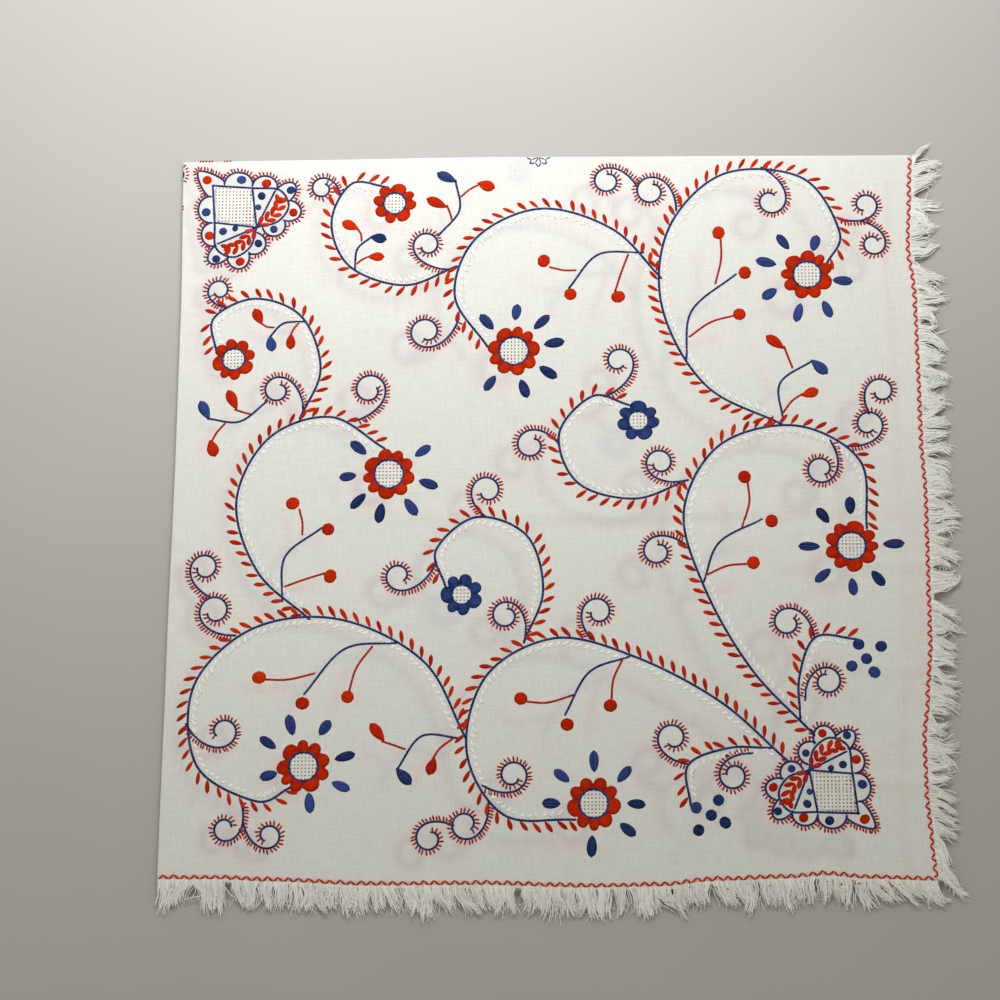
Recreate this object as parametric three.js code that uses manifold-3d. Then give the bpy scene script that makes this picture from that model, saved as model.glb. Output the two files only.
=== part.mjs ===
// An embroidered linen tablecloth, 1.5 m square, frayed into a fringe along its four sides.
// It lies folded in half and in half again: a square stack of four layers of one unbroken cloth,
// with its right side outside. The first fold runs down the left (-X) side of the stack and turns
// with it over the second fold, which runs along the back (+Y). The four frayed hems lie at the
// right and at the front, each of them bent once round a fold.
// Millimetres, +Z up, resting on z = 0, with the origin under the middle of the stack.

import * as THREE from "three";
import { mergeVertices } from "three/addons/utils/BufferGeometryUtils.js";
import Module from "manifold-3d";

// Driving sizes
const panel = 723; // woven cloth from a fold to a hem, half the cloth's side
const sheet = 1.0; // thickness of the cloth
const air = 0.8; // between neighbouring layers where the stack is pressed flattest
const fringe = 26; // loose yarn beyond the hem, on average

const pitch = sheet + air; // from one layer to the next
const firstBend = pitch / 2; // radius of the first fold, at the middle of the cloth
const secondBend = pitch; // radius of the second fold, midway between its two plies
const lowerPly = sheet / 2 + pitch / 2; // height midway between the two lower layers
const upperPly = lowerPly + 2 * secondBend;
const top = upperPly + pitch / 2 + sheet / 2;
const turnSteps = 6; // facets round each fold

// Where the rows of facets run: along the width from the left fold, and along the depth from the hem.
const acrossStops = [30, 110, 200, 290, 355, 372, 389, 460, 540, 620, 680];
const alongStops = [
  40, 80, 93, 106, 145, 186, 201, 216, 255, 290, 303, 316, 341, 355, 369, 430, 520, 610, 680,
];

// Soft ridges left by earlier folding and by handling. Each runs along x or along y at the place "at",
// is "half" wide to either side and "rise" high, and fades in and out between "from" and "to".
const creases = [
  { runs: "x", at: 355, half: 13, rise: 1.1, from: 120, to: 760 },
  { runs: "y", at: 372, half: 17, rise: 0.9, from: -40, to: 330 },
  { runs: "x", at: 303, half: 11, rise: 0.9, from: 560, to: 790 },
  { runs: "x", at: 201, half: 12, rise: 1.0, from: 590, to: 790 },
  { runs: "x", at: 93, half: 11, rise: 1.1, from: 600, to: 800 },
];

// Broad swells where the layers don't quite touch.
const swells = [
  { x: 610, y: 170, radius: 150, rise: 1.2 },
  { x: 180, y: 210, radius: 190, rise: 0.8 },
  { x: 430, y: 520, radius: 200, rise: 0.9 },
  { x: 640, y: 470, radius: 120, rise: 0.7 },
];

// How far each outer line of the stack strays outwards, at places along it.
const rightHem = [
  { at: 0, out: -1 }, { at: 33, out: -4 }, { at: 85, out: -7.5 }, { at: 130, out: -7.5 },
  { at: 175, out: -3 }, { at: 225, out: 1 }, { at: 370, out: 1.5 }, { at: 425, out: -1 },
  { at: 570, out: -2 }, { at: 628, out: -7 }, { at: 685, out: -4 }, { at: 723, out: -2 },
];
const frontHem = [
  { at: 0, out: -4 }, { at: 60, out: -4 }, { at: 100, out: -2 }, { at: 200, out: 2 },
  { at: 300, out: 1.5 }, { at: 400, out: 4 }, { at: 465, out: 3 }, { at: 520, out: -2 },
  { at: 580, out: -4 }, { at: 620, out: -7 }, { at: 660, out: -4 }, { at: 723, out: -2 },
];
const leftFold = [
  { at: 0, out: 0 }, { at: 220, out: -1 }, { at: 420, out: -2.5 }, { at: 560, out: -2.5 },
  { at: 723, out: 0 },
];
const backFold = [
  { at: 0, out: -1 }, { at: 120, out: 0 }, { at: 300, out: 1.5 }, { at: 500, out: 0.5 },
  { at: 723, out: -0.5 },
];

// The fringe
const hemGap = 0.4; // parts a fringe's root band from the cloth
const rootBand = 5.5; // width of the band of yarn still woven beyond the hem stitching
const locksPerSide = 66;
const lockRoot = 15.5; // width of a lock where it leaves the band
const lockRise = 0.85; // its height there
const rootDepth = 3; // how far a lock's root is sunk in the band
const endClear = 5; // how far locks keep from the fold and from the open corner
const fanReach = 70; // locks this near a corner fan out towards it
const fanTurn = 0.62; // the most they turn, in radians
const tipDrop = 0.45; // share of its height that a free tip has lost

const between = (a, b, t) => a + (b - a) * t;
const smooth = (t) => t * t * (3 - 2 * t);
const clamp01 = (t) => Math.min(1, Math.max(0, t));

// A repeatable number from -1 to 1 for item k of a series.
function uneven(k, series) {
  const s = Math.sin(k * 12.9898 + series * 78.233) * 43758.5453;
  return 2 * (s - Math.floor(s)) - 1;
}

// The table's value at a place, eased from row to row.
function strayAt(table, place) {
  const next = table.findIndex((row) => row.at >= place);
  if (next === 0) return table[0].out;
  if (next < 0) return table[table.length - 1].out;
  const [a, b] = [table[next - 1], table[next]];
  return between(a.out, b.out, smooth((place - a.at) / (b.at - a.at)));
}

const bump = (distance, half) => (Math.abs(distance) < half ? smooth(1 - Math.abs(distance) / half) : 0);

function creaseRise(crease, x, y) {
  const [along, across] = crease.runs === "x" ? [x, y] : [y, x];
  const middle = (crease.from + crease.to) / 2;
  const reach = (crease.to - crease.from) / 2;
  return crease.rise * bump(across - crease.at, crease.half) * bump(along - middle, reach) ** 0.5;
}

const swellRise = (s, x, y) => s.rise * Math.exp(-((x - s.x) ** 2 + (y - s.y) ** 2) / s.radius ** 2);

// How far the top of the stack is lifted above where it would lie if it were pressed flat.
function liftAt(x, y) {
  const inside = clamp01(x / 30) * clamp01((panel - y) / 30);
  const lift =
    creases.reduce((sum, crease) => sum + creaseRise(crease, x, y), 0) +
    swells.reduce((sum, swell) => sum + swellRise(swell, x, y), 0);
  return lift * between(0.35, 1, inside);
}

// Moves a point of the pressed, square stack to where it lies: outlines stray, the upper layers lift,
// and beyond the hems everything sinks towards the floor.
function settle([x, y, z]) {
  const [u, v] = [clamp01(x / panel), clamp01(y / panel)];
  const outX = u * strayAt(rightHem, y) - (1 - u) * strayAt(leftFold, y);
  const outY = v * strayAt(backFold, x) - (1 - v) * strayAt(frontHem, x);
  const level = clamp01((z - sheet) / (top - sheet));
  const slip = level * 1.5; // an upper hem ends a little short of the one below it
  const beyond = Math.max(x - panel, -y, 0);
  const sink = 1 - tipDrop * smooth(clamp01(beyond / fringe));
  return [
    x + outX - slip * u,
    y + outY + slip * (1 - v),
    z * sink + level * liftAt(Math.min(x, panel), Math.max(y, 0)) * sink,
  ];
}

// The first fold's section: across the upper ply from hem to fold, round it, and back below.
// n is the height above the middle of the two plies, and nx, nn the way the cloth faces.
function foldedSection(stops) {
  const bendX = firstBend + sheet / 2;
  const upper = [...stops, panel].sort((a, b) => b - a).map((x) => ({ x, n: firstBend, nx: 0, nn: 1 }));
  const lower = upper.map(({ x }) => ({ x, n: -firstBend, nx: 0, nn: -1 })).reverse();
  const turn = Array.from({ length: turnSteps + 1 }, (_, k) => {
    const angle = Math.PI * (0.5 + k / turnSteps);
    const [nx, nn] = [Math.cos(angle), Math.sin(angle)];
    return { x: bendX + firstBend * nx, n: firstBend * nn, nx, nn };
  });
  return [...upper, ...turn, ...lower];
}

// The second fold's path: along the upper half from hem to fold, round it, and back underneath.
// y and z are on the line midway between the two plies, and ny, nz face away from the fold's inside.
function foldedPath(stops) {
  const bendY = panel - secondBend - firstBend - sheet / 2;
  const upper = [0, ...stops].map((y) => ({ y, z: upperPly, ny: 0, nz: 1 }));
  const lower = upper.map(({ y }) => ({ y, z: lowerPly, ny: 0, nz: -1 })).reverse();
  const steps = turnSteps + 2;
  const turn = Array.from({ length: steps + 1 }, (_, k) => {
    const angle = Math.PI * (0.5 - k / steps);
    const [ny, nz] = [Math.cos(angle), Math.sin(angle)];
    return { y: bendY + secondBend * ny, z: (upperPly + lowerPly) / 2 + secondBend * nz, ny, nz };
  });
  return [...upper, ...turn, ...lower];
}

// Where a place on the section and a place on the path meet, "out" from the middle of the cloth.
function clothPoint(s, p, out) {
  const n = s.n + out * s.nn;
  return settle([s.x + out * s.nx, p.y + n * p.ny, p.z + n * p.nz]);
}

// A closed mesh of points [x, y, z] and triangles, turned so that its faces point outwards.
function closedGeometry(points, triangles) {
  const [a, b, c] = [new THREE.Vector3(), new THREE.Vector3(), new THREE.Vector3()];
  const coneVolume = ([i, j, k]) =>
    a.fromArray(points[i]).dot(b.fromArray(points[j]).cross(c.fromArray(points[k])));
  const volume = triangles.reduce((sum, triangle) => sum + coneVolume(triangle), 0);
  const facing = volume < 0 ? triangles.map(([i, j, k]) => [i, k, j]) : triangles;
  const geometry = new THREE.BufferGeometry();
  geometry.setAttribute("position", new THREE.Float32BufferAttribute(points.flat(), 3));
  geometry.setIndex(facing.flat());
  return geometry;
}

// The whole cloth: its two faces, and the walls that join them along the four hems.
function clothGeometry() {
  const section = foldedSection(acrossStops);
  const path = foldedPath(alongStops);
  const [columns, rows] = [section.length, path.length];
  const face = (out) => path.flatMap((p) => section.map((s) => clothPoint(s, p, out)));
  const points = [...face(sheet / 2), ...face(-sheet / 2)];
  const at = (column, row, side) => side * columns * rows + row * columns + column;
  const triangles = [];
  const quad = (a, b, c, d) => triangles.push([a, b, c], [a, c, d]);
  for (let r = 0; r < rows - 1; r++)
    for (let c = 0; c < columns - 1; c++) {
      quad(at(c, r, 0), at(c + 1, r, 0), at(c + 1, r + 1, 0), at(c, r + 1, 0));
      quad(at(c, r, 1), at(c, r + 1, 1), at(c + 1, r + 1, 1), at(c + 1, r, 1));
    }
  for (let c = 0; c < columns - 1; c++) {
    quad(at(c, 0, 0), at(c, 0, 1), at(c + 1, 0, 1), at(c + 1, 0, 0));
    quad(at(c, rows - 1, 0), at(c + 1, rows - 1, 0), at(c + 1, rows - 1, 1), at(c, rows - 1, 1));
  }
  for (let r = 0; r < rows - 1; r++) {
    quad(at(0, r, 0), at(0, r + 1, 0), at(0, r + 1, 1), at(0, r, 1));
    quad(at(columns - 1, r, 0), at(columns - 1, r, 1), at(columns - 1, r + 1, 1), at(columns - 1, r + 1, 0));
  }
  return closedGeometry(points, triangles);
}

// A solid bar through rings of points, each with the same number of corners, with a flat cap at each end.
function barGeometry(rings) {
  const corners = rings[0].length;
  const triangles = [];
  for (let r = 0; r < rings.length - 1; r++)
    for (let c = 0; c < corners; c++) {
      const [a, b] = [r * corners + c, r * corners + ((c + 1) % corners)];
      triangles.push([a, b, b + corners], [a, b + corners, a + corners]);
    }
  const last = (rings.length - 1) * corners;
  for (let c = 1; c < corners - 1; c++) triangles.push([0, c + 1, c], [last, last + c, last + c + 1]);
  return closedGeometry(rings.flat(), triangles);
}

const wasm = await Module();
wasm.setup();

function solidOf(geometry) {
  const merged = mergeVertices(geometry, 1e-4);
  return new wasm.Manifold(
    new wasm.Mesh({
      numProp: 3,
      vertProperties: merged.attributes.position.array,
      triVerts: new Uint32Array(merged.index.array),
    }),
  );
}

function geometryOf(solid) {
  const made = solid.getMesh();
  const geometry = new THREE.BufferGeometry();
  geometry.setAttribute("position", new THREE.BufferAttribute(made.vertProperties, 3));
  geometry.setIndex(new THREE.BufferAttribute(made.triVerts, 1));
  geometry.computeVertexNormals();
  return geometry;
}

// The band of yarn that holds a side hem's fringe. It follows the hem round the second fold.
function sideBand(n, path) {
  const facing = Math.sign(n);
  const [inner, outer] = [panel + hemGap, panel + rootBand];
  return barGeometry(
    path.map((p) =>
      [[inner, 1], [outer, 1], [outer, -1], [inner, -1]].map(([x, side]) =>
        clothPoint({ x, n, nx: 0, nn: facing }, p, (side * sheet) / 2),
      ),
    ),
  );
}

// The same for an end hem, which goes round the first fold.
function endBand(height, facing, section) {
  const [inner, outer] = [-hemGap, -rootBand];
  return barGeometry(
    section.map((s) =>
      [[inner, 1], [outer, 1], [outer, -1], [inner, -1]].map(([y, side]) =>
        clothPoint(s, { y, z: height, ny: 0, nz: facing }, (side * sheet) / 2),
      ),
    ),
  );
}

// One lock: a tapering three-cornered tuft, flat below, that leaves its root squarely and has
// turned by "angle" from "away" before its middle. floor is the underside of its layer.
function lockGeometry(root, away, angle, floor, k) {
  const length = rootDepth + fringe * (0.82 + 0.2 * uneven(k, 1));
  const sway = 0.16 * uneven(k, 2);
  const rings = [0, 0.5, 1].map((t) => {
    const turned = away + (angle + sway * t) * Math.min(1, 2 * t);
    const [dx, dy] = [Math.cos(turned), Math.sin(turned)];
    const half = between(lockRoot, 2.2, t ** 1.4) / 2;
    const [x, y] = [root[0] + dx * length * t, root[1] + dy * length * t];
    return [
      settle([x + dy * half, y - dx * half, floor]),
      settle([x - dy * half, y + dx * half, floor]),
      settle([x, y, floor + between(lockRise, 0.4, t)]),
    ];
  });
  return barGeometry(rings);
}

// The locks of one hem: half of them along its upper run and half along its lower one. Both runs
// start at the fold that the hem goes round and end at the open corner of the stack. A run's
// "shift", in steps, lets its locks show between those of the layers above and below.
function locksAlong(runs, placeAt, away, series) {
  const each = locksPerSide / 2;
  const step = (panel - 2 * endClear) / each;
  const turnSign = away === 0 ? 1 : -1;
  return runs.flatMap(({ layer, shift }, run) =>
    Array.from({ length: each }, (_, k) => {
      const fromFold = endClear + step * (k + 0.5 + shift) + 1.5 * uneven(k, series + run);
      const fan = clamp01(1 - fromFold / fanReach) - clamp01(1 - (panel - fromFold) / fanReach);
      const angle = turnSign * fanTurn * fan + 0.1 * uneven(k, series + run + 5);
      return lockGeometry(placeAt(fromFold), away, angle, layer * pitch, k + each * run + 100 * series);
    }),
  );
}

function fringedBand(band, locks) {
  return geometryOf(wasm.Manifold.union([band, ...locks].map(solidOf)));
}

const side = { away: 0, placeAt: (fromFold) => [panel + rootBand - rootDepth, panel - fromFold] };
const end = { away: -Math.PI / 2, placeAt: (fromFold) => [fromFold, rootDepth - rootBand] };
const hemPath = foldedPath(alongStops);
const hemSection = foldedSection(acrossStops);

const linen = new THREE.MeshStandardMaterial({ color: 0xf1efe6, roughness: 0.9, metalness: 0 });
const looseYarn = new THREE.MeshStandardMaterial({ color: 0xece8dc, roughness: 0.95, metalness: 0 });

// Layers count up from 0 at the bottom. A hem's upper run comes first.
const hems = [
  {
    name: "fringe_outer_side",
    band: sideBand(firstBend, hemPath),
    locks: locksAlong([{ layer: 3, shift: -0.25 }, { layer: 0, shift: -0.25 }], side.placeAt, side.away, 1),
  },
  {
    name: "fringe_inner_side",
    band: sideBand(-firstBend, hemPath),
    locks: locksAlong([{ layer: 2, shift: 0.25 }, { layer: 1, shift: 0.25 }], side.placeAt, side.away, 2),
  },
  {
    name: "fringe_upper_end",
    band: endBand(upperPly, 1, hemSection),
    locks: locksAlong([{ layer: 3, shift: -0.25 }, { layer: 2, shift: 0.25 }], end.placeAt, end.away, 3),
  },
  {
    name: "fringe_lower_end",
    band: endBand(lowerPly, -1, hemSection),
    locks: locksAlong([{ layer: 1, shift: -0.25 }, { layer: 0, shift: 0.25 }], end.placeAt, end.away, 4),
  },
];

const stack = new THREE.Group();
const cloth = new THREE.Mesh(clothGeometry(), linen);
cloth.name = "linen_cloth";
stack.add(cloth);
for (const hem of hems) {
  const mesh = new THREE.Mesh(fringedBand(hem.band, hem.locks), looseYarn);
  mesh.name = hem.name;
  stack.add(mesh);
}

// The origin goes under the middle of the whole stack, fringes included.
const extent = new THREE.Box3().setFromObject(stack, true);
const middle = extent.getCenter(new THREE.Vector3());
stack.position.set(-middle.x, -middle.y, -extent.min.z);

const tablecloth = new THREE.Group();
tablecloth.add(stack);
export default tablecloth;
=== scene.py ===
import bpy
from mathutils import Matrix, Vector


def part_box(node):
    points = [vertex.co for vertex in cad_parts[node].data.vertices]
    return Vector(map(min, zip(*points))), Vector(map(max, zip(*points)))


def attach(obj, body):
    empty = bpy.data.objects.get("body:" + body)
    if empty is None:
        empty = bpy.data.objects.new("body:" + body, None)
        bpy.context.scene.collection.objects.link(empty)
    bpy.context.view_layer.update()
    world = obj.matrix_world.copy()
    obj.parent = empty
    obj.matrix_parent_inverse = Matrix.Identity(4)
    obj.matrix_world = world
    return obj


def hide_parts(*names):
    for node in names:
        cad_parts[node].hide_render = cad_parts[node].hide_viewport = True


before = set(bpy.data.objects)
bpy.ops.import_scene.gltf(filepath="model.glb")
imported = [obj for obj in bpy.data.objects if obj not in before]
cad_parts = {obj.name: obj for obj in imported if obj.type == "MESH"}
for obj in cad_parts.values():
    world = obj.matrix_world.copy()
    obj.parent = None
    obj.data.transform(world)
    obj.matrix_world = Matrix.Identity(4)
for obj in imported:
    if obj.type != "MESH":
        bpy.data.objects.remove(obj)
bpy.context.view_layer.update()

# %% Helpers for numbers
import math

import bpy
import numpy as np
from mathutils import Euler, Vector

MM = 0.001


def between(a, b, t):
    return a + (b - a) * t


def smooth(t):
    return t * t * (3 - 2 * t)


def clamp01(t):
    return np.clip(t, 0.0, 1.0)


# %% [markdown]
# ## Camera and light
#
# The cloth is looked at from above through a long lens, a little from the front hem. A long lens far
# away keeps the square nearly square. Every later step is judged through this camera, so it is made
# first.
# %% Camera
def new_object(name, data):
    """A new object in the scene, made of the data."""
    made = bpy.data.objects.new(name, data)
    bpy.context.scene.collection.objects.link(made)
    return made


camera_data = bpy.data.cameras.new("camera")
camera_data.lens = 110
camera = new_object("camera", camera_data)
camera.location = (0.0438, -0.806, 2.806)
camera.rotation_euler = Euler([math.radians(a) for a in (16.51, 2.04, 0.29)], "XYZ")
bpy.context.scene.camera = camera
print("camera", round(camera.location.z, 2), "m above the surface")

# %% [markdown]
# The light comes from beyond the back fold, a little from the left: the cloth is brightest there and
# falls off towards the front hem. One large area light does that. It is turned a little away from the
# cloth, which steepens the fall, and its size keeps the shadows of the thread soft. The even
# background, slightly warm, fills the rest. The plain "Standard" view keeps the reds and the white as
# they are mixed, where a filmic view would grey them.
# %% Light and floor
light_data = bpy.data.lights.new("back_light", "AREA")
light_data.size = 0.9
light_data.energy = 20.2
light_data.color = (0.99, 1.0, 1.0)
light = new_object("back_light", light_data)
light.location = (-0.12, 0.94, 1.0)
lit_place = Vector((-0.4, 1.18, 0))
light.rotation_euler = (lit_place - light.location).to_track_quat("-Z", "Y").to_euler()

world = bpy.data.worlds.new("studio")
world.use_nodes = True
world.node_tree.nodes["Background"].inputs["Color"].default_value = (1.0, 0.98, 0.86, 1)
world.node_tree.nodes["Background"].inputs["Strength"].default_value = 0.46
bpy.context.scene.world = world
bpy.context.scene.view_settings.view_transform = "Standard"

floor_half = 30.0
floor_corners = [(x * floor_half, y * floor_half, 0) for x, y in ((-1, -1), (1, -1), (1, 1), (-1, 1))]
floor_mesh = bpy.data.meshes.new("floor")
floor_mesh.from_pydata(floor_corners, [], [(0, 1, 2, 3)])
floor = new_object("floor", floor_mesh)
print("light of", round(light_data.energy, 1), "W, floor", 2 * floor_half, "m a side")


# %% [markdown]
# ## Shader helpers
#
# Every finish here is built from nodes. These helpers keep each material down to the few lines that
# say what it is: a node of some kind with its sockets set or linked, a sum, and a blend of two colours.
# %% Shader helpers
def new_finish(name, roughness, gloss=0.25):
    material = bpy.data.materials.new(name)
    material.use_nodes = True
    shader = material.node_tree.nodes["Principled BSDF"]
    shader.inputs["Roughness"].default_value = roughness
    shader.inputs["Specular IOR Level"].default_value = gloss
    return material, shader


def add_node(material, kind, settings=None, **sockets):
    made = material.node_tree.nodes.new("ShaderNode" + kind)
    for name, value in (settings or {}).items():
        setattr(made, name, value)
    for name, value in sockets.items():
        set_socket(material, made.inputs[name.replace("_", " ")], value)
    return made


def set_socket(material, socket, value):
    if isinstance(value, bpy.types.NodeSocket):
        material.node_tree.links.new(value, socket)
    else:
        socket.default_value = value


def maths(material, operation, a, b=0.0, clamp=False):
    made = add_node(material, "Math", {"operation": operation, "use_clamp": clamp})
    set_socket(material, made.inputs[0], a)
    set_socket(material, made.inputs[1], b)
    return made.outputs[0]


def blend_colours(material, share, a, b):
    made = add_node(material, "Mix", {"data_type": "RGBA"})
    set_socket(material, made.inputs[0], share)
    set_socket(material, made.inputs[6], a)
    set_socket(material, made.inputs[7], b)
    return made.outputs[2]


def stretched_noise(material, stretch, scale, detail=2.0):
    """Noise in the object's own space, drawn out along the axes with a small number in stretch."""
    place = add_node(material, "TexCoord").outputs["Object"]
    mapped = add_node(material, "Mapping", Vector=place, Scale=stretch).outputs["Vector"]
    return add_node(material, "TexNoise", Vector=mapped, Scale=scale, Detail=detail).outputs["Fac"]


def attribute(material, name):
    return add_node(material, "Attribute", {"attribute_name": name}).outputs["Fac"]


def raise_surface(material, shader, height, distance, strength):
    bump = add_node(material, "Bump", Strength=strength, Distance=distance, Height=height)
    set_socket(material, shader.inputs["Normal"], bump.outputs["Normal"])


floor_finish, floor_shader = new_finish("floor_paper", 0.8)
floor_tone = stretched_noise(floor_finish, (1, 1, 1), 5)
floor_colour = blend_colours(floor_finish, floor_tone, (0.43, 0.42, 0.405, 1), (0.46, 0.45, 0.435, 1))
set_socket(floor_finish, floor_shader.inputs["Base Color"], floor_colour)
floor.data.materials.append(floor_finish)
print(floor_finish.name, len(floor_finish.node_tree.nodes), "nodes")

# %% [markdown]
# ## How the cloth is folded
#
# The cloth could be draped by a simulation, but it was folded by hand and pressed, so its shape is
# regular: two plies turned round the first fold, and those two turned together round the second. So it
# is worked out. A section across the first fold is carried along a path round the second one, and then
# the whole stack is settled: its outlines stray a little, old creases lift it, and whatever lies
# beyond a hem sinks towards the floor. These are the solids' own sizes, in millimetres, with x from
# the left fold, y from the front hem and z up.
# %% Sizes of the stack
panel = 723.0  # woven cloth from a fold to a hem
layer_pitch = 1.8  # from one layer to the next
solid_sheet = 1.0  # thickness of the solid cloth
linen_thickness = 0.6  # and of the linen drawn here, round the same middle
first_bend = layer_pitch / 2
second_bend = layer_pitch
lower_ply = solid_sheet / 2 + layer_pitch / 2
upper_ply = lower_ply + 2 * second_bend
stack_top = upper_ply + layer_pitch / 2 + solid_sheet / 2
fringe_length = 26.0  # loose yarn beyond the hem, on average
tip_drop = 0.45  # share of its height that a free tip has lost

# How far each outer line strays outwards: place along it, distance out.
right_hem = [(0, -1), (33, -4), (85, -7.5), (130, -7.5), (175, -3), (225, 1), (370, 1.5), (425, -1),
             (570, -2), (628, -7), (685, -4), (723, -2)]
front_hem = [(0, -4), (60, -4), (100, -2), (200, 2), (300, 1.5), (400, 4), (465, 3), (520, -2),
             (580, -4), (620, -7), (660, -4), (723, -2)]
left_fold = [(0, 0), (220, -1), (420, -2.5), (560, -2.5), (723, 0)]
back_fold = [(0, -1), (120, 0), (300, 1.5), (500, 0.5), (723, -0.5)]

# Old creases: the way they run, their place, half width, rise, and where they fade in and out.
creases = [
    ("x", 355, 13, 1.1, 120, 760), ("y", 372, 17, 0.9, -40, 330), ("x", 303, 11, 0.9, 560, 790),
    ("x", 201, 12, 1.0, 590, 790), ("x", 93, 11, 1.1, 600, 800),
]
# Narrower ones, pressed into the upper layers by hand.
small_creases = [
    ("x", 366, 7, 0.55, 230, 800), ("x", 344, 6, -0.45, 300, 790), ("x", 320, 7, 0.5, 520, 800),
    ("x", 288, 6, -0.4, 540, 790), ("x", 215, 7, 0.4, 560, 800), ("x", 86, 5, 0.4, 610, 790),
    ("y", 366, 7, 0.45, -40, 250), ("y", 380, 7, -0.35, -40, 210), ("y", 14, 6, 0.3, -30, 760),
]
# Broad swells where the layers don't quite touch: x, y, radius, rise.
swells = [(610, 170, 150, 1.2), (180, 210, 190, 0.8), (430, 520, 200, 0.9), (640, 470, 120, 0.7)]


# %% Settling the stack
top_slip = 1.5  # how far the top has slid back from the hems
pressed_edge = 30.0  # a fold keeps the stack flatter for this far
lift_at_folds = 0.35  # share of the lift that is left at a fold


def eased(table, place):
    """The table's value at each place, eased from row to row."""
    at, out = np.array(table, float).T
    k = np.clip(np.searchsorted(at, place, side="left"), 1, len(at) - 1)
    t = clamp01((place - at[k - 1]) / (at[k] - at[k - 1]))
    return between(out[k - 1], out[k], smooth(t))


def bump(distance, half):
    return smooth(clamp01(1 - np.abs(distance) / half))


def crease_rise(crease, x, y):
    runs, at, half, rise, start, end = crease
    along, across = (x, y) if runs == "x" else (y, x)
    return rise * bump(across - at, half) * bump(along - (start + end) / 2, (end - start) / 2) ** 0.5


def lift_at(x, y):
    """How far the top of the stack is lifted above where it would lie if it were pressed flat."""
    lift = sum(crease_rise(crease, x, y) for crease in creases + small_creases)
    lift = lift + sum(rise * np.exp(-((x - sx) ** 2 + (y - sy) ** 2) / r**2) for sx, sy, r, rise in swells)
    inside = clamp01(x / pressed_edge) * clamp01((panel - y) / pressed_edge)
    return lift * between(lift_at_folds, 1.0, inside)


def level_of(z):
    """0 at the lowest layer and 1 at the top of the stack."""
    return clamp01((z - solid_sheet) / (stack_top - solid_sheet))


def stray(x, y, z):
    """How far a point of the pressed stack moves in x and y."""
    u, v = clamp01(x / panel), clamp01(y / panel)
    out_x = u * eased(right_hem, y) - (1 - u) * eased(left_fold, y)
    out_y = v * eased(back_fold, x) - (1 - v) * eased(front_hem, x)
    slip = top_slip * level_of(z)
    return out_x - slip * u, out_y + slip * (1 - v)


def settle(x, y, z):
    """Moves points of the pressed, square stack to where they lie."""
    out_x, out_y = stray(x, y, z)
    beyond = np.maximum(np.maximum(x - panel, -y), 0)
    sink = 1 - tip_drop * smooth(clamp01(beyond / fringe_length))
    lift = level_of(z) * lift_at(np.minimum(x, panel), np.maximum(y, 0))
    return np.stack(np.broadcast_arrays(x + out_x, y + out_y, (z + lift) * sink), -1)


print("the top is lifted", round(float(lift_at(panel / 2, panel / 2)), 2), "mm at its middle")


# %% [markdown]
# ## From millimetres of cloth to the frame
#
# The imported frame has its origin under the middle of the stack, and the sizes above start at the left
# fold and the front hem. The box of the solid cloth says how far apart the two are. Everything that is
# made below goes through one function, which shifts it, scales it to metres and makes the object.
# %% Making a piece
cloth_low, cloth_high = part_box("linen_cloth")
stack_origin = np.array([cloth_low.x, cloth_high.y - (panel + max(out for _, out in back_fold)) * MM, 0])
print("stack origin in mm", np.round(stack_origin / MM, 2))


def make_piece(name, points, faces, finish, marks, rounded=True):
    """A mesh object of points in mm. faces is a list of arrays, one row for each face."""
    mesh = bpy.data.meshes.new(name)
    mesh.vertices.add(len(points))
    mesh.vertices.foreach_set("co", (points * MM + stack_origin).astype(np.float32).ravel())
    sides = np.concatenate([np.full(len(group), group.shape[1]) for group in faces])
    mesh.loops.add(int(sides.sum()))
    mesh.loops.foreach_set("vertex_index", np.concatenate([g.ravel() for g in faces]).astype(np.int32))
    mesh.polygons.add(len(sides))
    mesh.polygons.foreach_set("loop_start", np.concatenate([[0], np.cumsum(sides)[:-1]]).astype(np.int32))
    mesh.update(calc_edges=True)
    mesh.polygons.foreach_set("use_smooth", np.full(len(sides), rounded))
    for mark, values in marks.items():
        mesh.attributes.new(mark, "FLOAT", "POINT").data.foreach_set("value", values.astype(np.float32))
    mesh.materials.append(finish)
    piece = new_object(name, mesh)
    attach(piece, "root")
    print(name, int((sides - 2).sum()), "triangles")
    return piece


# %% [markdown]
# ## The sheet on its folds
#
# The section and the path are lists of places with the way the cloth faces there. Their stops lie
# 4.5 mm apart on the layer that shows, close enough for the narrow creases, and far apart on the
# layers below, which keeps the mesh light. The same function makes the whole cloth and, from a short
# section or path, the woven bands beyond its hems.
# %% Section and path
fine_step = 4.5
across_stops = [30, 110, 200, 290, 355, 372, 389, 460, 540, 620, 680, panel]
along_stops = [0, 40, 80, 93, 106, 145, 186, 201, 216, 255, 290, 303, 316, 341, 355, 369, 430, 520,
               610, 680]
first_bend_x = first_bend + solid_sheet / 2
second_bend_y = panel - second_bend - first_bend - solid_sheet / 2


def places_on(table):
    """Rows of numbers as one array for each column."""
    return [np.array(column, float) for column in zip(*table)]


def half_turn(at, level, radius, way, stops):
    """Round a fold from its upper side to its lower one: place, level, and the way the cloth faces."""
    angles = [math.pi * (0.5 + way * k / (stops - 1)) for k in range(stops)]
    return [
        (at + radius * math.cos(a), level + radius * math.sin(a), math.cos(a), math.sin(a)) for a in angles
    ]


def folded_section():
    """Across the outer ply from hem to fold, round it and back below: x, n, nx, nn."""
    fine = np.linspace(panel, first_bend_x + fine_step, int(panel / fine_step))
    rows = [(x, first_bend, 0, 1) for x in fine]
    rows += half_turn(first_bend_x, 0, first_bend, way=1, stops=9)
    rows += [(x, -first_bend, 0, -1) for x in across_stops]
    return places_on(rows)


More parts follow.
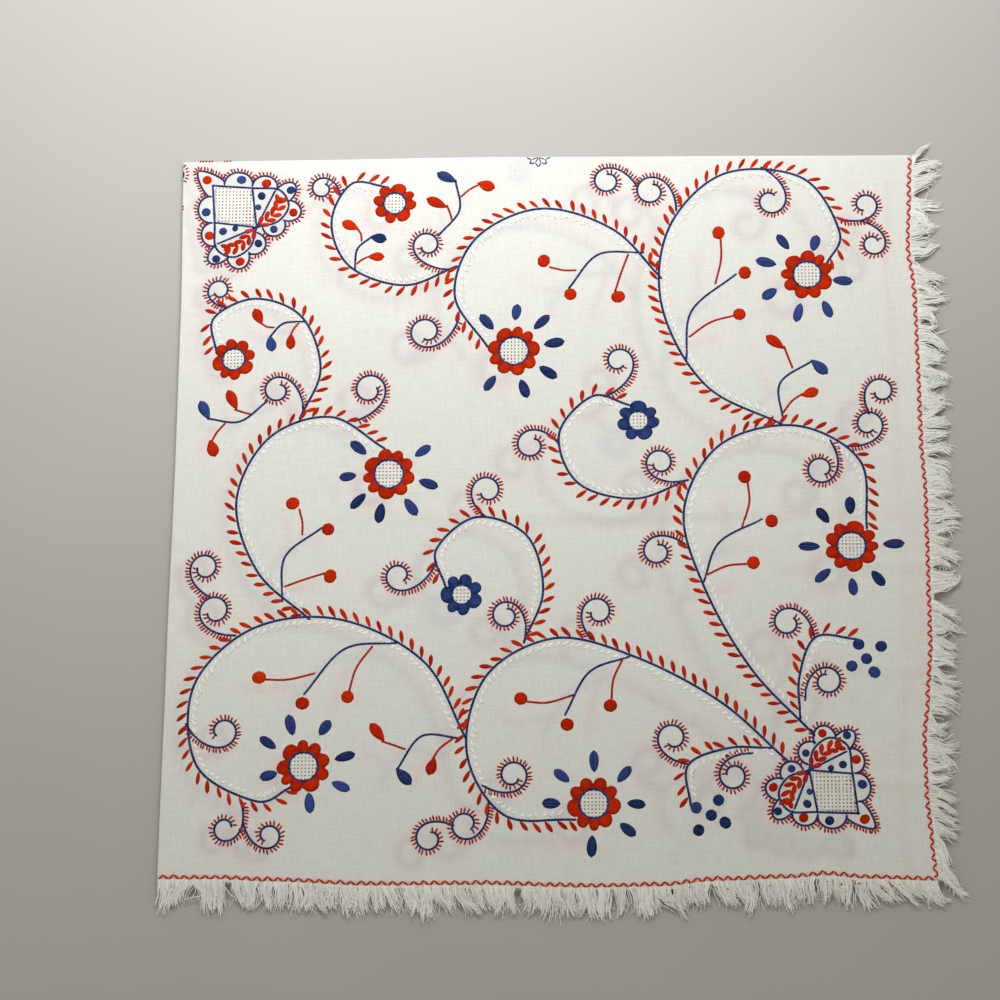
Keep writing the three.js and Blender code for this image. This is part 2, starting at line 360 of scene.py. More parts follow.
def folded_path():
    """Along the upper half from hem to fold, round it and back underneath: y, z, ny, nz."""
    fine = np.linspace(0, second_bend_y - fine_step, int(panel / fine_step))
    rows = [(y, upper_ply, 0, 1) for y in fine]
    rows += half_turn(second_bend_y, lower_ply + second_bend, second_bend, way=-1, stops=11)
    rows += [(y, lower_ply, 0, -1) for y in reversed(along_stops)]
    return places_on(rows)


def sheet_points(section, path, out):
    """Points at "out" from the middle of the cloth: one row for each place on the path."""
    x, n, nx, nn = section
    y, z, ny, nz = (column[:, None] for column in path)
    reach = n + out * nn
    return settle(x + out * nx + 0 * y, y + reach * ny, z + reach * nz)


def grid_faces(rows, columns, turned=False):
    corner = (np.arange(rows - 1)[:, None] * columns + np.arange(columns - 1)).ravel()
    faces = np.stack([corner, corner + 1, corner + columns + 1, corner + columns], -1)
    return faces[:, ::-1] if turned else faces


def edge_faces(edge, offset):
    """A wall between an edge of the right side and the same edge of the wrong side."""
    a, b = edge[:-1], edge[1:]
    return np.stack([a, a + offset, b + offset, b], -1)


def closed_sheet(section, path, ragged=None):
    """Both sides of a sheet and the walls between them, with its faces pointing out."""
    half = linen_thickness / 2
    sides = [sheet_points(section, path, half), sheet_points(section, path, -half)]
    if ragged is not None:
        sides = [ragged(side) for side in sides]
    rows, columns = sides[0].shape[:2]
    ids = np.arange(rows * columns).reshape(rows, columns)
    below = rows * columns
    faces = [
        grid_faces(rows, columns),
        grid_faces(rows, columns, turned=True) + below,
        edge_faces(ids[0], below),
        edge_faces(ids[-1][::-1], below),
        edge_faces(ids[::-1, 0], below),
        edge_faces(ids[:, -1], below),
    ]
    points = np.concatenate([side.reshape(-1, 3) for side in sides])
    return points, faces_outwards(points, np.concatenate(faces))


def faces_outwards(points, faces):
    corners = points[faces]
    around = np.cross(corners[:, 1] - corners[:, 0], corners[:, 2] - corners[:, 0])
    volume = (corners[:, 0] * around).sum()
    return faces if volume > 0 else faces[:, ::-1]


section, path = folded_section(), folded_path()
print("section", len(section[0]), "places, path", len(path[0]), "places")


# %% [markdown]
# ## Places on the cloth
#
# The needlework is placed on the cloth as it lies: u runs across from the left fold and v down from
# the back fold, in millimetres, as a ruler laid on the folded cloth would read. The surface below a
# stitch comes from the same settled stack, so the thread follows every crease.
# %% From u, v to the surface
top_layer = upper_ply + first_bend
tallest_stitch = 1.1


def pressed_place(u, v):
    """Where a point that now lies at u, v was before the stack settled, closed in on in four rounds."""
    x, y = u, panel - v
    for _ in range(4):
        out_x, out_y = stray(x, y, top_layer)
        x, y = u - out_x, panel - v - out_y
    return x, y


def on_top(points):
    """Points u, v, height above the cloth as points of the stack."""
    u, v, height = np.moveaxis(points, -1, 0)
    x, y = pressed_place(u, v)
    face = top_layer + linen_thickness / 2
    surface = settle(clamp01(x / panel) * panel, clamp01(y / panel) * panel, face)[..., 2]
    return np.stack([u, panel - v, surface + height], -1)


def underneath(points):
    """The same needlework on the quarter that faces the floor, pressed flat below the linen."""
    u, v, height = np.moveaxis(points, -1, 0)
    room = solid_sheet / 2 - linen_thickness / 2
    return np.stack([u, panel - v, room * (0.95 - 0.85 * clamp01(height / tallest_stitch))], -1)


middle_of_face = on_top(np.array([panel / 2, panel / 2, 0]))
print("the linen's face lies", round(float(middle_of_face[2]), 2), "mm up at its middle")


# %% [markdown]
# ## Stitches
#
# A stitch is a short padded bundle of thread, thin at both ends. It could be a curve with a bevel, but
# there are thousands of them, so each kind is one small closed shape that is laid many times by
# turning and stretching its points. "aside" keeps each point's distance across the stitch, from which
# the thread's finish draws its strands, and "tone" makes neighbouring stitches differ a little. A tone
# of its own is given only to a larger shape.
# %% Stitch shapes
def even(stations):
    return np.linspace(0, 1, stations + 2)[1:-1]


def padded_shape(places, sides, half_width_at, rise_at):
    """A closed shape from x = 0 to x = 1, with rings at the places, a flat back and a rounded face."""
    stations = len(places)
    around = np.linspace(math.pi, 0, sides)
    rings = [
        [(t, half_width_at(t) * math.cos(a), rise_at(t) * math.sin(a)) for a in around] for t in places
    ]
    points = np.array([(0, 0, 0)] + [p for ring in rings for p in ring] + [(1, 0, 0)])
    last = len(points) - 1
    triangles, quads = [], []
    for k in range(sides):
        nxt = (k + 1) % sides
        triangles.append((0, 1 + nxt, 1 + k))
        end = 1 + (stations - 1) * sides
        triangles.append((last, end + k, end + nxt))
        for ring in range(stations - 1):
            start = 1 + ring * sides
            quads.append((start + k, start + nxt, start + sides + nxt, start + sides + k))
    return points, [np.array(triangles), np.array(quads)]


def swelling(power, late=1.0):
    """A profile that is 0 at both ends; late above 1 puts its widest place past the middle."""
    return lambda t: math.sin(math.pi * t**late) ** power


def halved(profile):
    return lambda t: 0.5 * profile(t)


thread = padded_shape(even(3), 3, halved(swelling(0.35)), swelling(0.4))
bar = padded_shape(even(3), 3, lambda t: 0.5, lambda t: 1.0)
flat_bar = padded_shape((0.03, 0.26, 0.5, 0.74, 0.97), 4, lambda t: 0.5, lambda t: 1.0)
leaf = padded_shape(even(5), 5, halved(swelling(0.55, 1.2)), swelling(0.4))
drop = padded_shape(even(6), 5, halved(swelling(0.6, 1.35)), swelling(0.4))
petal = padded_shape(even(7), 5, halved(swelling(0.45, 1.2)), swelling(0.35))
disc = padded_shape(even(7), 5, lambda t: math.sqrt(t * (1 - t)), lambda t: (4 * t * (1 - t)) ** 0.3)
spot = padded_shape(even(3), 3, halved(swelling(0.4)), lambda t: 1.0)
print("points in a thread", len(thread[0]), "in a leaf", len(leaf[0]), "in a petal", len(petal[0]))

# %% Laying stitches
needlework = {}  # for each floss, the batches laid so far
dice = np.random.default_rng(7)


def lay(floss, shape, places, headings, length, width, height, base=0.0, both_halves=True):
    """Lays the shape at each place u, v, turned to its heading. base is its height above the cloth."""
    places = np.atleast_2d(np.asarray(places, float))
    count = len(places)
    headings, length, width, height = (
        np.broadcast_to(np.asarray(value, float), (count,))[:, None]
        for value in (headings, length, width, height)
    )
    shape_points, faces = shape
    along = length * shape_points[:, 0]
    aside = width * shape_points[:, 1]
    u = places[:, :1] + along * np.cos(headings) - aside * np.sin(headings)
    v = places[:, 1:] + along * np.sin(headings) + aside * np.cos(headings)
    up = base + height * shape_points[:, 2]
    points = np.stack([u, v, up], -1)
    needlework.setdefault(floss, []).append((points, faces, aside, None, both_halves))


def lay_shape(floss, points, faces, aside, tone):
    """Lays one larger worked shape, on both halves, whose points are already in u, v, height."""
    needlework.setdefault(floss, []).append((points[None], faces, aside[None], tone, True))


def stitch_count():
    """How many stitches and shapes each floss has so far."""
    return {floss: sum(len(batch[0]) for batch in batches) for floss, batches in needlework.items()}


# %% [markdown]
# ## Lines of stitches
#
# A needlewoman lays out a long line by a few places and draws it freely between them. Here a spline
# does the same: it runs smoothly through a few places, and even steps along it say where the stitches
# go.
# %% Curves and rows
places_per_span = 16
heading_probe = 0.8  # how far ahead of a place and behind it its heading is read


def curve(points):
    """A smooth curve through the points, as a close row of places."""
    given = np.array(points, float)
    p = np.vstack([2 * given[0] - given[1], given, 2 * given[-1] - given[-2]])
    t = np.linspace(0, 1, places_per_span, endpoint=False)[:, None]
    spans = [
        b + 0.5 * t * (c - a + t * (2 * a - 5 * b + 4 * c - d + t * (3 * (b - c) + d - a)))
        for a, b, c, d in zip(p[:-3], p[1:-2], p[2:-1], p[3:])
    ]
    return np.vstack(spans + [given[-1:]])


def evenly(line, step, skip=0.0, stop=0.0):
    """Places at even steps along a line of close points, and the heading at each of them."""
    far = np.concatenate([[0], np.cumsum(np.hypot(*np.diff(line, axis=0).T))])
    at = np.arange(skip, far[-1] - stop + 1e-6, step)
    places, ahead, behind = (
        np.stack([np.interp(at + shift, far, line[:, k]) for k in (0, 1)], -1)
        for shift in (0.0, heading_probe, -heading_probe)
    )
    du, dv = (ahead - behind).T
    return places, np.arctan2(dv, du)


def offset(places, headings, ahead, aside):
    """Places moved along and across their headings; aside is positive to the right of the way."""
    cos, sin = np.cos(headings), np.sin(headings)
    return places + np.stack([ahead * cos - aside * sin, ahead * sin + aside * cos], -1)


# %% [markdown]
# Stem stitch makes the blue lines: each stitch starts half way along the last one and a little to its
# side, so the row reads as a twisted cord. Leaves stand in a row on the outer side of a scroll and
# lean the way it grows, white stitches stand on its inner side, and a curl carries a comb of short red
# ones. Leaves, white stitches and combs stray a little from their neighbours, as the hand does.
# %% Kinds of rows
scroll_stem, thin_stem, fine_stem = 2.5, 2.3, 2.2  # widths of a worked line
small_step = 2.9  # from one stitch of a stem or a comb to the next


def stem_stitch(line, floss="blue", width=thin_stem, both_halves=True, base=0.0):
    places, headings = evenly(line, small_step)
    starts = offset(places, headings, -2.6, -0.2 * width)
    lay(floss, thread, starts, headings + 0.15, length=5.4, width=width, height=0.85, base=base,
        both_halves=both_halves)


def leaf_row(line, side):
    places, headings = evenly(line, step=11.6, skip=7.0, stop=4.0)
    count = len(places)
    roots = offset(places, headings, 0, side)
    lean = side * dice.normal(0.86, 0.09, count)
    length = 13.4 * dice.uniform(0.9, 1.06, count)
    width = 4.2 * dice.uniform(0.88, 1.1, count)
    lay("red", leaf, roots, headings + lean, length, width, height=0.8)


def white_row(line, side):
    """Each white stitch is three fine threads side by side."""
    places, headings = evenly(line, step=7.4, skip=12.0, stop=10.0)
    count = len(places)
    lean = side * dice.normal(0.85, 0.14, count)
    for ahead in (-1, 0, 1):
        roots = offset(places, headings, ahead, side * 2.6)
        length = 10.0 * dice.uniform(0.6, 1.1, count)
        lay("white", thread, roots, headings + lean, length, width=1.15, height=0.3)


def comb(line, side, length=5.8, skip=3.0, stop=0.0, both_halves=True):
    """Short red stitches that stand out from one side of a line."""
    places, headings = evenly(line, small_step, skip, stop)
    count = len(places)
    roots = offset(places, headings, 0, side * 0.3)
    lean = side * dice.normal(1.3, 0.1, count)
    length = length * dice.uniform(0.85, 1.15, count)
    lay("red", thread, roots, headings + lean, length, width=1.95, height=0.6, both_halves=both_halves)


# %% [markdown]
# ## The scrolls
#
# The pattern is mirrored about the cloth's diagonal, so only the half towards the right hem is
# written down. The long scrolls grow from the heart at the open corner and from each other. Their
# leaves stand to the right or the left of the way they grow. A traditional scroll like this is one
# easy sweep, so each has only the few places that lay out its bends.
# %% Scrolls
right, left = 1, -1


def scroll(leaf_side, points):
    line = curve(points)
    stem_stitch(line, width=scroll_stem)
    leaf_row(line, leaf_side)
    white_row(line, -leaf_side)


# The side of the leaves, and the places.
scrolls = [
    (left, [(610, 583), (553, 520), (510, 440), (492, 365), (527, 300), (600, 281), (660, 316), (665, 383)]),
    (left, [(588, 280), (514, 239), (473, 158), (481, 76), (535, 20), (612, 25), (647, 82), (634, 115)]),
    (right, [(472, 128), (425, 77), (355, 55), (292, 85), (271, 145), (303, 198)]),
    (left, [(272, 115), (222, 134), (168, 114), (149, 68), (168, 27), (204, 31)]),
    (left, [(495, 335), (445, 353), (391, 337), (373, 288), (405, 250), (440, 259)]),
    (left, [(598, 567), (598, 528), (614, 490), (652, 492)]),
]
for row in scrolls:
    scroll(*row)
print("stitches in the scrolls", stitch_count())

# %% [markdown]
# Small curls branch off the scrolls and wind inwards, with a comb of red stitches on the outside of
# the turn. A curl could be a spline too, but they are all one motif, so one formula draws it from its
# root, the middle it winds round, its radius, the way it winds and how far it turns.
# %% Curls
lead_in = 0.7  # radians in which a curl closes in on its circle
tightening = 0.5  # share of its radius that it has lost at its end


def curl(root, middle, radius, winds, turn):
    """A line from the root that closes in on a circle round the middle and tightens at its end."""
    away = np.subtract(root, middle)
    turned = np.radians(np.linspace(0, turn, 90))
    far = radius * (1 - tightening * (turned / turned[-1]) ** 4)
    far = far + (np.hypot(*away) - radius) * np.exp(-turned / lead_in)
    angle = math.atan2(away[1], away[0]) + winds * turned
    line = middle + far[:, None] * np.stack([np.cos(angle), np.sin(angle)], -1)
    stem_stitch(line)
    comb(line, -winds)


# Root, middle, radius, the way it winds, degrees turned.
curls = [
    ((573, 14), (581, 49), 12.5, right, 410), ((647, 68), (673, 54), 11, left, 410),
    ((668, 71), (680, 95), 10.5, right, 440), ((633, 297), (623, 325), 12.5, right, 480),
    ((650, 302), (670, 280), 12.5, left, 440), ((670, 268), (682, 246), 11.5, right, 400),
    ((488, 57), (463, 37), 13.5, left, 470), ((450, 33), (420, 26), 12, left, 470),
    ((268, 118), (243, 92), 12, right, 460), ((275, 170), (243, 183), 14, right, 480),
    ((418, 250), (431, 214), 12, left, 420), ((372, 297), (346, 298), 13, left, 410),
    ((495, 335), (469, 317), 12, right, 490), ((492, 398), (466, 405), 12.5, left, 420),
    ((157, 38), (139, 31), 10, left, 430), ((613, 490), (588, 475), 12.5, left, 430),
    ((603, 550), (624, 532), 12, right, 480),
]
for row in curls:
    curl(*row)
print(len(curls), "curls on this half,", stitch_count())

# %% [markdown]
# ## Flowers
#
# A flower is a ring of satin stitch with a scalloped rim round an openwork eye. Satin stitch fills a
# shape with threads side by side, here running outwards from the eye. The ring is a closed, padded
# band whose rim and height both follow the scallops, so that each petal has its own soft crown. Its
# tone follows them too, with shade painted into the notches between the petals. Loose blue petals
# stand round the large red flowers.
# %% Flower shapes
ring_rise = 0.85


def scalloped_ring(centre, inner, outer, petals, turned):
    """A padded ring with a scalloped rim: points, faces, the way across its threads, and its tone, which
    holds painted shade in the notches between the petals.
    """
    sectors, rows = petals * 10, 7
    angle = np.linspace(0, 2 * math.pi, sectors, endpoint=False)
    uneven = 0.09 * np.sin(2 * angle + 5 * turned) + 0.07 * np.sin(3 * angle + 9 * turned)
    lobe = np.abs(np.cos(petals * (angle + uneven) / 2))
    scallop = between(0.4, 1.0, lobe**0.5)
    share = np.linspace(0, 1, rows)[:, None]
    radius = between(inner, between(inner, outer, scallop), share)
    height = ring_rise * (4 * share * (1 - share)) ** 0.25 * scallop
    # Painted shade: the tone falls towards the notches between the petals, with a random part for each
    # sector.
    tone = clamp01(0.75 * lobe + dice.uniform(-0.2, 0.3, sectors)) + 0 * radius
    points = np.stack([
        centre[0] + radius * np.cos(angle + turned), centre[1] + radius * np.sin(angle + turned), height,
    ], -1)
    here = np.arange(rows * sectors).reshape(rows, sectors)
    beside = np.roll(here, -1, axis=1)
    beyond = np.roll(here, -1, axis=0)
    opposite = np.roll(beside, -1, axis=0)
    faces = np.stack([here, beyond, opposite, beside], -1).reshape(-1, 4)
    aside = (radius * angle).reshape(-1)
    return points.reshape(-1, 3), [faces], aside, tone.reshape(-1)


def ring_line(centre, radius):
    angle = np.linspace(0, 2 * math.pi, 60)
    return np.stack([centre[0] + radius * np.cos(angle), centre[1] + radius * np.sin(angle)], -1)


def flower(floss, centre, outer, eye, petals, turned):
    lay_shape(floss, *scalloped_ring(centre, eye - 1.5, outer, petals, turned))
    stem_stitch(ring_line(centre, eye - 0.3), base=0.4)


# %% [markdown]
# ## Openwork
#
# In a flower's eye and a heart's window, threads of the linen have been counted, cut and drawn out
# both ways, and those that stay are bound with white thread into a lattice of bars. The holes could be
# cut through the sheet, but so many would make it heavy and rough at their rims. So each hole is a
# small spot laid on the linen, most of them the linen below in painted shade, and flat white bars run
# over it between the spots.
# %% Openwork
hole_pitch = 3.45
bar_width = 3.05
probe_step = 0.4  # how closely a bar's line is tried for the ends of the bar


def openwork(inside, low, high, tint_side, both_halves=True):
    """Counted holes between white bars, over the part of the box low to high where inside is true.

    A few holes towards tint_side show red or blue thread carried below."""
    us, vs = (np.arange(start + 2.2, end - 1.4, hole_pitch) for start, end in zip(low, high))
    u, v = (grid.ravel() for grid in np.meshgrid(us, vs))
    places = np.stack([u, v], -1)[inside(u, v)]
    middle = (low + high) / 2
    towards = ((places - middle) * tint_side).sum(1) / (high[0] - low[0])
    tinted = towards + dice.normal(0, 0.1, len(places)) > 0.3
    kinds = np.where(tinted, dice.integers(1, 4, len(places)), 0)
    # Plain holes are spots of painted shade, the linen below in shadow; the tinted ones show thread below.
    for kind, floss in enumerate(["hole", "red_hole", "blue_hole", "red_hole"]):
        chosen = places[kinds == kind]
        if len(chosen):
            size = dice.uniform(1.3, 1.85, len(chosen)) * (1.2 if kind else 1.0)
            lay(floss, spot, offset(chosen, 0, -size / 2, 0), 0, length=size, width=size, height=0.1,
                base=0.06, both_halves=both_halves)
    for axis in (0, 1):
        bars_along(inside, us, vs, axis, both_halves)


def bars_along(inside, us, vs, axis, both_halves):
    """White bars between the holes, each as long as the shape is there."""
    across, along = (vs, us) if axis == 0 else (us, vs)
    run = np.arange(along[0] - hole_pitch, along[-1] + hole_pitch, probe_step)
    for place in np.append(across - hole_pitch / 2, across[-1] + hole_pitch / 2):
        probes = (run, place + 0 * run) if axis == 0 else (place + 0 * run, run)
        hit = run[inside(*probes)]
        if len(hit) > 4:
            start = (hit[0], place) if axis == 0 else (place, hit[0])
            lay("bars", flat_bar, start, axis * math.pi / 2, length=hit[-1] - hit[0], width=bar_width,
                height=0.1, base=0.02 * axis, both_halves=both_halves)


def round_eye(centre, radius, tint_side):
    openwork(lambda u, v: np.hypot(u - centre[0], v - centre[1]) < radius - 1.2, centre - radius,
             centre + radius, tint_side)


# %% Flowers on the cloth
# "petals" gives each loose petal's direction in degrees, clockwise from the way to the right, "reach"
# how far the petals' middles are from the flower's, and "tint" the side of the eye where coloured
# thread shows.
large_flowers = [
    {"centre": (614.5, 126.5), "eye": 14.2, "tint": (0.9, 0.5),
     "petals": (-160, -123, -76, 13, 61, 103, 154), "reach": (41.9, 41.2, 34, 35, 40.4, 40.3, 41.9)},
    {"centre": (650, 401), "eye": 14.2, "tint": (0.3, 0.5),
     "petals": (-132, -90, -3, 53, 91, 132, 179), "reach": 40},
    {"centre": (329, 203), "eye": 14.8, "tint": (-0.9, 0.5),
     "petals": (-132, -88, -49, -12, 33, 77, 125), "reach": 40},
]
for row in large_flowers:
    centre = np.array(row["centre"], float)
    flower("red", centre, outer=25.6, eye=row["eye"], petals=9, turned=dice.uniform(0, 0.7))
    round_eye(centre, row["eye"], row["tint"])
    angles = np.radians(row["petals"])
    count = len(angles)
    length = dice.uniform(17.5, 21.5, count)
    roots = offset(np.repeat(centre[None], count, 0), angles, row["reach"] - length / 2, 0)
    headings = angles + dice.normal(0, 0.1, count)
    lay("petal", petal, roots, headings, length, width=dice.uniform(8.8, 10.4, count), height=0.9)

small_flowers = [
    {"floss": "red", "centre": (211, 48), "outer": 21.5, "eye": 11.6, "petals": 8},
    {"floss": "petal", "centre": (449, 275), "outer": 20.5, "eye": 10.2, "petals": 7},
]
for row in small_flowers:
    centre = np.array(row["centre"], float)
    flower(row["floss"], centre, row["outer"], row["eye"], row["petals"], turned=0.2)
    round_eye(centre, row["eye"], (-0.4, 0.3))
print(len(large_flowers) + len(small_flowers), "flowers on this half,", stitch_count())

# %% [markdown]
# ## Berries, leaf sprays and dots
#
# Berries and dots are rounds of satin stitch. Thin stems in blue or red carry them. A leaf at the end
# of a stem is a drop that widens from its root to a blunt end, so it is given by those two places.
# %% Sprays
berry_width, dot_width = 12.8, 11.2
berries = [(529, 82), (554, 124), (548, 167), (550, 332), (575, 376), (557, 417), (358, 110), (384, 145),
           (430.5, 148)]
blue_stems = [
    [(496, 213), (502, 163), (546, 125)], [(510, 435), (525, 397), (566, 374)],
    [(454, 102), (411, 104), (383, 138)], [(588, 275), (586, 238), (618, 215)],
    [(255, 82), (275, 56), (271, 25)], [(173, 117), (175, 96), (189, 83)],
]
red_stems = [
    [(531, 88), (531, 110), (525, 136)], [(544, 168), (520, 175), (499, 190)],
    [(553, 338), (554, 358), (547, 381)], [(552, 418), (532, 420), (512, 429)],
    [(365, 117), (378, 120), (390, 120)], [(428, 141), (434, 122), (441, 103)],
    [(591, 202), (594, 211), (598, 222)], [(607, 249), (597, 256), (588, 268)],
    [(277, 41), (285, 34), (294, 29)], [(263, 52), (266, 60), (268, 68)],
    [(175, 75), (178, 80), (179, 87)], [(175, 111), (180, 107), (186, 104)],
]
spray_leaves = [
    ("red", (591, 203), (573, 189), 9.5), ("petal", (616, 214), (632, 229), 10),
    ("red", (606, 251), (623, 245), 9.5), ("petal", (272, 26), (252, 16), 9.5),
    ("red", (292, 27), (310, 33), 10.5), ("red", (263, 53), (242, 43), 9.5),
    ("petal", (187, 83), (204, 86), 9.5), ("red", (176, 75), (159, 67), 9.5),
    ("red", (185, 104), (202, 104), 8.5),
]
spray_dots = [(654, 497), (675, 499), (661, 511), (647, 518), (668, 524)]


def rounds(floss, places, width, height=1.0, both_halves=True):
    """Rounds of satin stitch, each with its threads turned its own way and not quite even."""
    places = np.atleast_2d(np.asarray(places, float))
    headings = dice.uniform(0, math.pi, len(places))
    starts = offset(places, headings, -width / 2, 0)
    across = width * dice.uniform(0.94, 1.08, len(places))
    lay(floss, disc, starts, headings, width, across, height, both_halves=both_halves)


for points in blue_stems:
    stem_stitch(curve(points))
for points in red_stems:
    stem_stitch(curve(points), "red", fine_stem)
rounds("red", berries, berry_width)
for floss, root, end, width in spray_leaves:
    du, dv = np.subtract(end, root)
    lay(floss, drop, root, math.atan2(dv, du), math.hypot(du, dv), 1.12 * width, height=1.0)
rounds("petal", spray_dots, dot_width)
print(len(berries), "berries and", len(spray_leaves), "leaves on this half")

# %% [markdown]
# ## Hearts
#
# A heart stands on the diagonal at the open corner and another, turned about, at the middle of the
# cloth, which here is the corner where the two folds meet. It is drawn once, in its own directions:
# "a" towards its tip and "b" to each side of it, and laid at both places.
# %% Heart
heart_outline = [(0, 0), (-10, 18), (-6, 36), (12, 41), (31, 25), (60, 0)]
heart_ribs = [[(0, 0), (14, 37)], [(0, 0), (31, 24)]]
# Scallops round the heart: the two cusps and how far the arc between them bulges.
heart_scallops = [
    ((-5.5, 3), (-14, 23), 11.5), ((-14, 23), (-3, 41), 13), ((-3, 41), (14.5, 40.5), 14.5),
    ((14.5, 40.5), (34, 27.5), 10.5), ((34, 27), (54, 9.5), 11.5), ((54, 9.5), (80, 0), 3.5),
]
heart_dots = [
    ("petal", (-13, 10), 7.6), ("red", (-14, 34.5), 8.4), ("petal", (4, 48.5), 8.2), ("red", (25.5, 37), 9),
    ("petal", (45, 23), 8.8), ("petal", (13.5, 15), 6), ("petal", (19.5, 25), 7.8),
]
heart_vein = [(0, 2), (-1.2, 12), (-1.2, 23), (3, 33)]
heart_window = [(1.5, 0), (31, 22), (58.5, 0), (31, -22)]
tip_dot, tip_fan = [(68, 0)], [(79, 0)]


def arc_between(a, b, bulge):
    """Half an ellipse from a to b, which swells to the left of the way."""
    a, b = np.array(a, float), np.array(b, float)
    chord = b - a
    outward = np.array([-chord[1], chord[0]]) / np.hypot(*chord)
    turn = np.linspace(0, math.pi, 28)[:, None]
    return a + chord * (1 - np.cos(turn)) / 2 + outward * bulge * np.sin(turn)


def inside_outline(corners, u, v):
    """True where u, v lies inside the four corners, which go round in one sense."""
    signs = []
    for (au, av), (bu, bv) in zip(corners, np.roll(corners, -1, axis=0)):
        signs.append((bu - au) * (v - av) - (bv - av) * (u - au))
    signs = np.array(signs)
    return (signs > 1.5).all(0) | (signs < -1.5).all(0)


def heart(crossing, axis_degrees, size, tint_side):
    """Lays a heart whose lines cross at "crossing" and whose tip points along the axis."""
    axis = math.radians(axis_degrees)
    way_a = np.array([math.cos(axis), math.sin(axis)])
    way_b = np.array([-math.sin(axis), math.cos(axis)])

    def put(line, side=1):
        a, b = (size * np.array(line, float)).T
        return crossing + np.outer(a, way_a) + np.outer(side * b, way_b)

    for side in (-1, 1):
        stem_stitch(curve(put(heart_outline, side)), both_halves=False)
        for rib in heart_ribs:
            stem_stitch(curve(put(rib, side)), width=fine_stem, both_halves=False)
        for start, end, bulge in heart_scallops:
            line = put(arc_between(start, end, bulge), side)
            stem_stitch(line, width=fine_stem, both_halves=False)
            comb(line, side, length=5.2, skip=4.2, stop=3.8, both_halves=False)
        for floss, place, width in heart_dots:
            rounds(floss, put([place], side), width * size, height=0.8, both_halves=False)
        vein, headings = evenly(curve(put(heart_vein, side)), 7.6, 0.5)
        roots = offset(vein, headings, 0.5, 0)
        for turned in (-0.6, 0.6):
            lay("red", leaf, roots, headings + turned, length=11.2, width=4.9, height=0.7, both_halves=False)
        lay("red", leaf, vein[-1:], headings[-1:], length=8.5, width=4.4, height=0.7, both_halves=False)
    rounds("red", put(tip_dot), 9.2 * size, height=0.8, both_halves=False)
    fan = axis + np.linspace(-1.2, 1.2, 5)
    roots = offset(np.repeat(put(tip_fan), len(fan), 0), fan, 1.8, 0)
    lay("red", thread, roots, fan, length=5.4, width=1.9, height=0.5, both_halves=False)
    corners = put(heart_window)
    openwork(lambda u, v: inside_outline(corners, u, v), corners.min(0), corners.max(0), tint_side, False)


heart((605, 617), axis_degrees=42.5, size=1.0, tint_side=(1, 0.3))
heart((75, 72), axis_degrees=225, size=1.05, tint_side=(0.9, 0.6))
print("stitches with the hearts", stitch_count())

# %% [markdown]
# At the middle of the cloth four such hearts nearly meet. The folds don't quite follow the middle, so
# the ends of the neighbours' red stitches come over both edges. Half way along the back fold, half of
# a small blue star shows too: a regular star, drawn with one straight stitch from corner to corner.
# %% Stitches over the folds
for angle in np.linspace(-0.6, 0.6, 6):
    place = (-9 + 11.6 * math.cos(angle), 14.7 + 11.6 * math.sin(angle))
    lay("red", thread, place, 1.35 * angle - 0.2, length=4.6, width=1.8, height=0.5, both_halves=False)
lay("blue", thread, (0.9, 11.5), math.pi / 2, length=8, width=1.8, height=0.6, both_halves=False)
# Where a comb starts and ends, and the side its stitches are on.
fold_combs = [((14, 0.2), (30, 0.2), right), ((38, 0.2), (48, 0.2), right), ((0.2, 46), (0.2, 54), left)]
for start, end, side in fold_combs:
    comb(np.linspace(start, end, 30), side, length=2.0, both_halves=False)

star_middle = np.array([352.5, 0.4])
star_angles = np.linspace(math.pi, 0, 9)
star_reach = np.where(np.arange(9) % 2, 7.5, 12)
star = star_middle + star_reach[:, None] * np.stack([np.cos(star_angles), 0.85 * np.sin(star_angles)], -1)


def straight_stitches(floss, shape, places, overlap, width, height):
    """One stitch from each place to the next, a little longer than the way between them."""
    du, dv = np.diff(places, axis=0).T
    lay(floss, shape, places[:-1], np.arctan2(dv, du), np.hypot(du, dv) + overlap, width, height,
        both_halves=False)


straight_stitches("blue", thread, star, overlap=0.5, width=1.4, height=0.5)
for corner in star[1:-1:2]:
    straight_stitches("blue", thread, [star_middle, corner], overlap=0.5, width=1.2, height=0.5)
print("a star of", len(star), "corners")

# %% [markdown]
# ## The hem's zigzag
#
# One red thread runs to and fro along the two hems. Its places are counted on the pressed cloth, then
# strayed with it, so that the stitch wanders with the hem as it was sewn.
# %% Zigzag
zigzag_inset = 1.3  # from the hem
zigzag_half_step = 4.85
zigzag_half_width = 2.4


def zigzag(along, across_axis):
    """Stitches from point to point along one hem; along is the pressed place of each point."""
    swing = np.where(np.arange(len(along)) % 2, 1.0, -1.0) * zigzag_half_width
    swing = swing * dice.uniform(0.75, 1.15, len(along))
    if across_axis == "x":
        x, y = panel - zigzag_inset + swing, along
    else:
        x, y = along, zigzag_inset + swing
    out_x, out_y = stray(x, y, top_layer)
    places = np.stack([x + out_x, panel - y - out_y], -1)
    straight_stitches("hem", bar, places, overlap=0.8, width=2.1, height=0.4)


steps = np.arange(1.5, panel - 1, zigzag_half_step)
for across_axis in ("x", "y"):
    zigzag(steps + dice.normal(0, 0.35, len(steps)), across_axis)

loose_ends = 16  # short bits of the same thread, caught in the front fringe
ends_u = dice.uniform(500, 705, loose_ends)
ends_v = panel - zigzag_inset + dice.uniform(4.5, 9, loose_ends) + eased(front_hem, ends_u)
lay("hem", thread, np.stack([ends_u, ends_v], -1), dice.uniform(0, math.pi, loose_ends),
    length=dice.uniform(1.8, 3.6, loose_ends), width=1.1, height=0.4, base=0.4, both_halves=False)
print(2 * len(steps), "turns of the zigzag on two hems")
